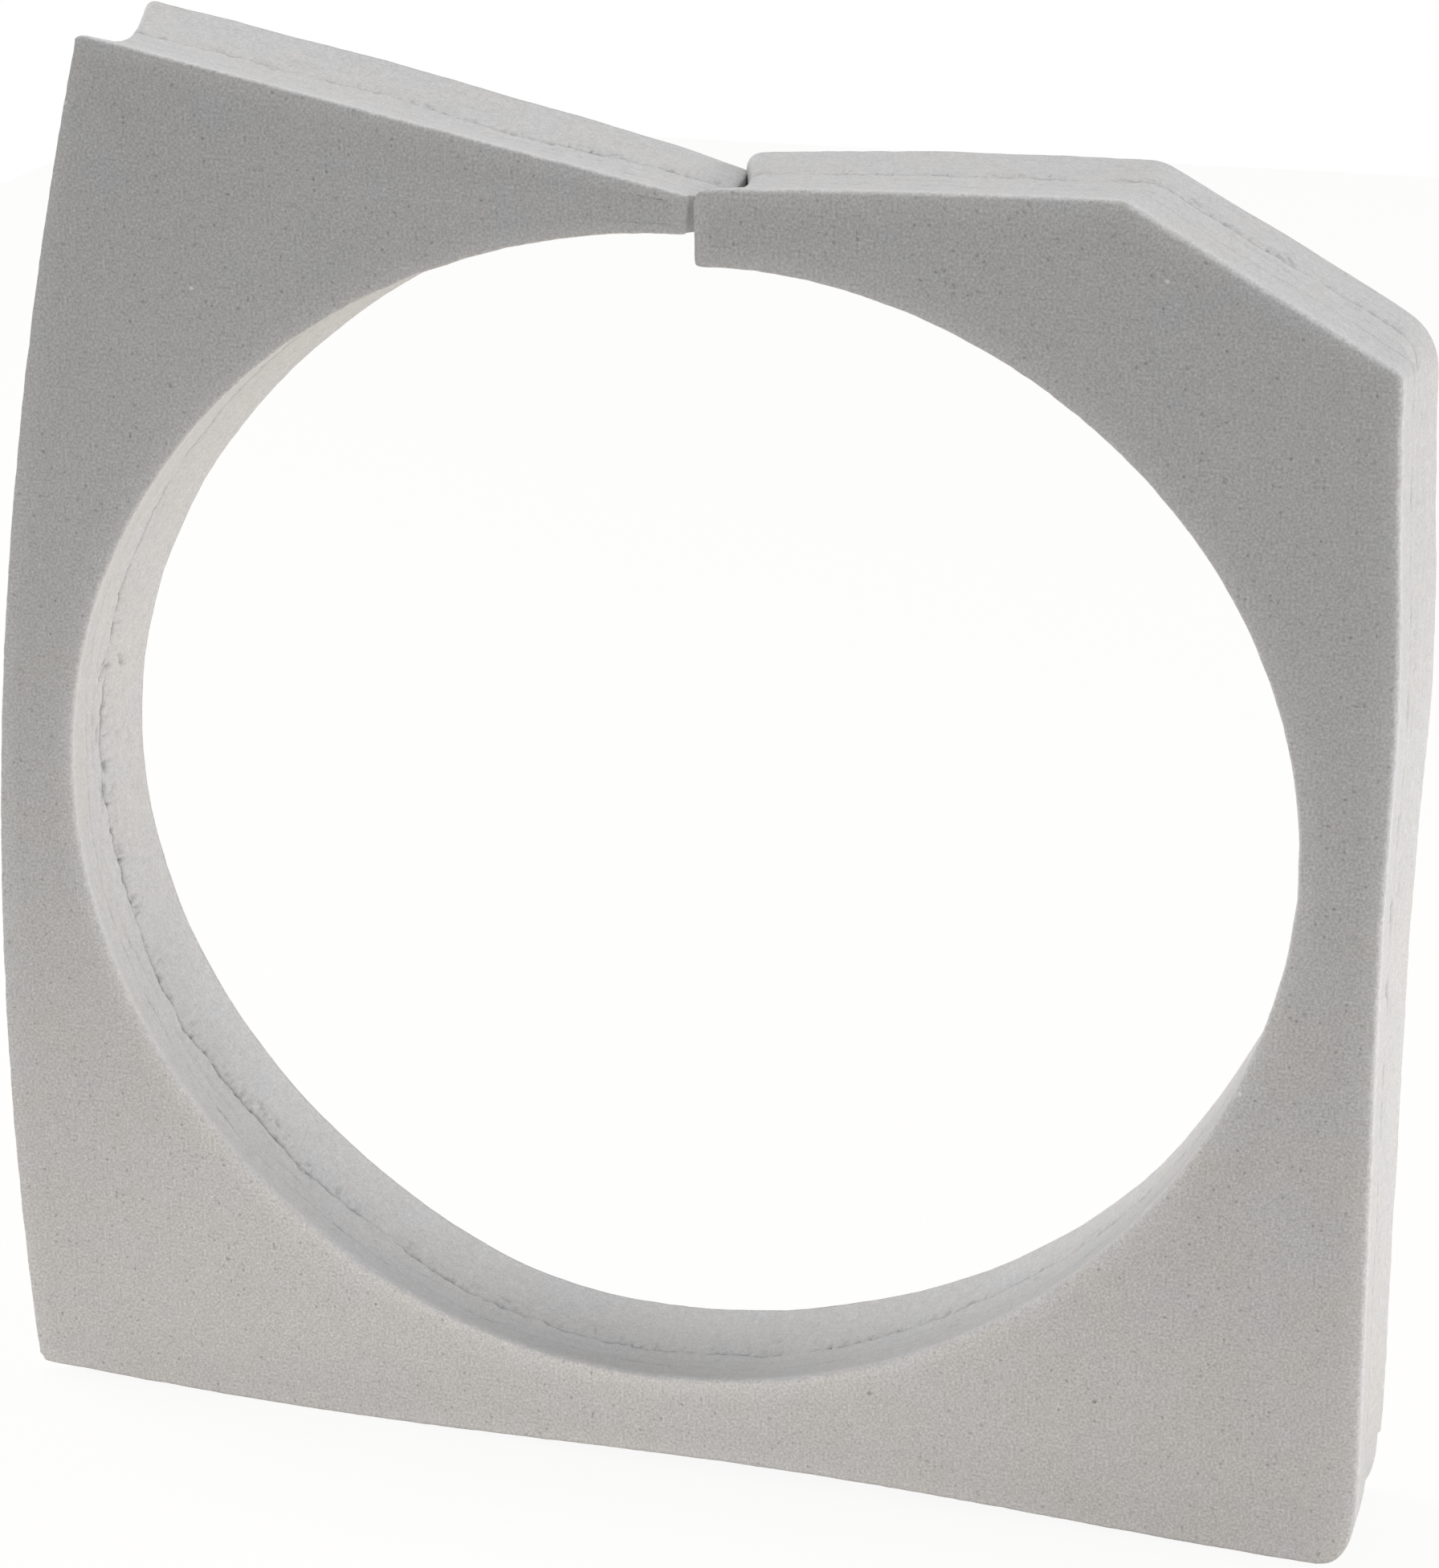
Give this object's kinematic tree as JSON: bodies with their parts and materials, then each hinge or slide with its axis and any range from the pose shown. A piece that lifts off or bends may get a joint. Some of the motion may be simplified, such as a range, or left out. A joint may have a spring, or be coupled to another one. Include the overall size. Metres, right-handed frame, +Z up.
{
  "type": "split foam protector frame",
  "caption": "Square frame of soft grey foam with a large round opening, a slanted corner and a slit at the top, so that its arms spread to slip it round a lamp or an instrument.",
  "frame": {"origin": "middle of the frame's box, at the level of the lower edges that it stands on", "axes": "+X to the right seen from the front, +Y from the front face to the rear face, +Z up to the slit"},
  "size_m": [0.1738, 0.02, 0.1748],
  "materials": {
    "front_foam": "matt soft foam with fine pores",
    "middle_foam": "matt soft foam with fine pores",
    "rear_foam": "matt soft foam with fine pores"
  },
  "bodies": {
    "base": {"front_sheet_base": "front_foam", "middle_sheet_base": "middle_foam", "rear_sheet_base": "rear_foam"},
    "left_arm": {"front_sheet_left_web": "front_foam", "front_sheet_left_arm": "front_foam", "middle_sheet_left_web": "middle_foam", "middle_sheet_left_arm": "middle_foam", "rear_sheet_left_web": "rear_foam", "rear_sheet_left_arm": "rear_foam"},
    "right_arm": {"front_sheet_right_web": "front_foam", "front_sheet_right_arm": "front_foam", "middle_sheet_right_web": "middle_foam", "middle_sheet_right_arm": "middle_foam", "rear_sheet_right_web": "rear_foam", "rear_sheet_right_arm": "rear_foam"}
  },
  "joints": [
    {"name": "left_flex", "type": "hinge", "parent": "base", "child": "left_arm", "pos_m": [-0.0798, 0, 0.0811], "axis": [0, -1, 0], "range_deg": [0, 40], "stiffness_Nm_per_rad": 0.005, "deforming": ["front_sheet_left_web", "middle_sheet_left_web", "rear_sheet_left_web"]},
    {"name": "right_flex", "type": "hinge", "parent": "base", "child": "right_arm", "pos_m": [0.0819, 0, 0.0875], "axis": [0, 1, 0], "range_deg": [0, 30], "stiffness_Nm_per_rad": 0.005, "deforming": ["front_sheet_right_web", "middle_sheet_right_web", "rear_sheet_right_web"]}
  ]
}
